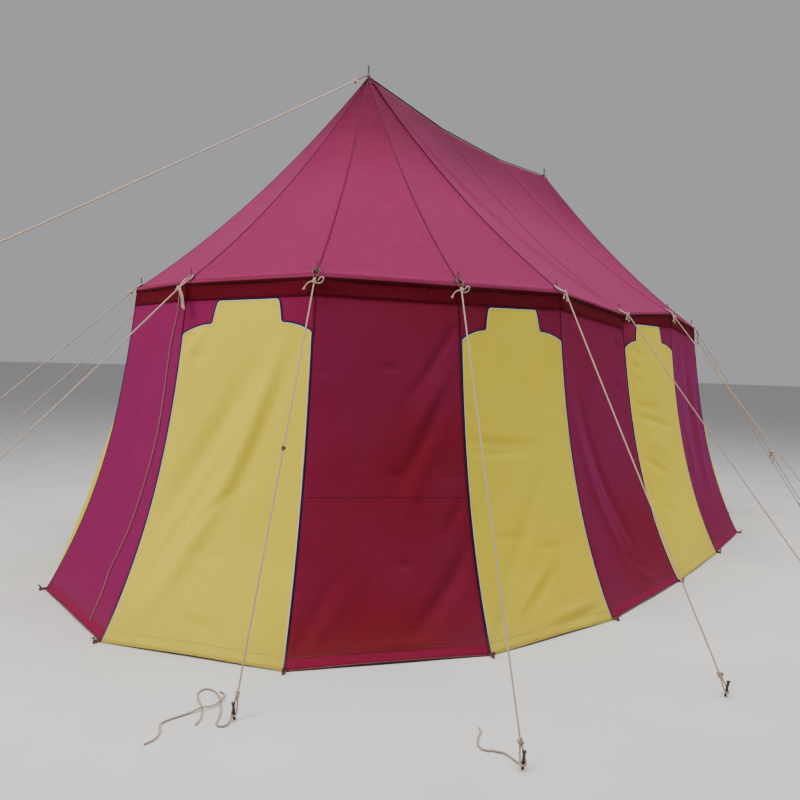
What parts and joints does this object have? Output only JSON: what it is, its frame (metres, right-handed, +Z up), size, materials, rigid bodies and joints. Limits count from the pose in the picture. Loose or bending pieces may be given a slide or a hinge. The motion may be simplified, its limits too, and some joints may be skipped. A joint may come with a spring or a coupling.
{
  "type": "medieval tent",
  "caption": "Oval two-pole medieval pavilion with a crimson canopy, flared red and yellow canvas walls, side poles, guy ropes and pegs.",
  "frame": {"origin": "on the ground midway between the pegs of the two peak guys", "axes": "+X along the ridge towards the second centre pole, +Z up"},
  "size_m": [15.4076, 6.6426, 3.76],
  "materials": {
    "roof_canvas": "matt crimson-pink cotton canvas with sewn seams",
    "red_canvas": "matt deep red cotton canvas",
    "yellow_canvas": "matt mustard yellow cotton canvas with a red head panel and dark blue piping",
    "pole_wood": "plain turned softwood with a steel spike",
    "guy_rope": "off-white laid rope, with a dark steel peg"
  },
  "bodies": {
    "root": {"roof_canopy": "roof_canvas", "wall_panel_01": "yellow_canvas", "wall_panel_02": "red_canvas", "wall_panel_03": "yellow_canvas", "wall_panel_04": "red_canvas", "wall_panel_05": "yellow_canvas", "wall_panel_06": "red_canvas", "wall_panel_07": "yellow_canvas", "wall_panel_08": "red_canvas", "wall_panel_09": "yellow_canvas", "wall_panel_10": "red_canvas", "wall_panel_11": "yellow_canvas", "wall_panel_12": "red_canvas", "wall_panel_13": "yellow_canvas", "wall_panel_14": "red_canvas", "wall_panel_15": "yellow_canvas", "wall_panel_16": "red_canvas", "wall_panel_17": "yellow_canvas", "wall_panel_18": "red_canvas", "centre_pole_1": "pole_wood", "centre_pole_2": "pole_wood", "side_pole_01": "pole_wood", "side_pole_02": "pole_wood", "side_pole_03": "pole_wood", "side_pole_04": "pole_wood", "side_pole_05": "pole_wood", "side_pole_06": "pole_wood", "side_pole_07": "pole_wood", "side_pole_08": "pole_wood", "side_pole_09": "pole_wood", "side_pole_10": "pole_wood", "side_pole_11": "pole_wood", "side_pole_12": "pole_wood", "side_pole_13": "pole_wood", "side_pole_14": "pole_wood", "side_pole_15": "pole_wood", "side_pole_16": "pole_wood", "side_pole_17": "pole_wood", "side_pole_18": "pole_wood", "eave_guy_01": "guy_rope", "eave_guy_02": "guy_rope", "eave_guy_03": "guy_rope", "eave_guy_04": "guy_rope", "eave_guy_05": "guy_rope", "eave_guy_06": "guy_rope", "eave_guy_07": "guy_rope", "eave_guy_08": "guy_rope", "eave_guy_09": "guy_rope", "eave_guy_10": "guy_rope", "eave_guy_11": "guy_rope", "eave_guy_12": "guy_rope", "eave_guy_13": "guy_rope", "eave_guy_14": "guy_rope", "eave_guy_15": "guy_rope", "eave_guy_16": "guy_rope", "eave_guy_17": "guy_rope", "eave_guy_18": "guy_rope", "peak_guy_1": "guy_rope", "peak_guy_2": "guy_rope", "loose_rope_end": "guy_rope"}
  },
  "joints": []
}
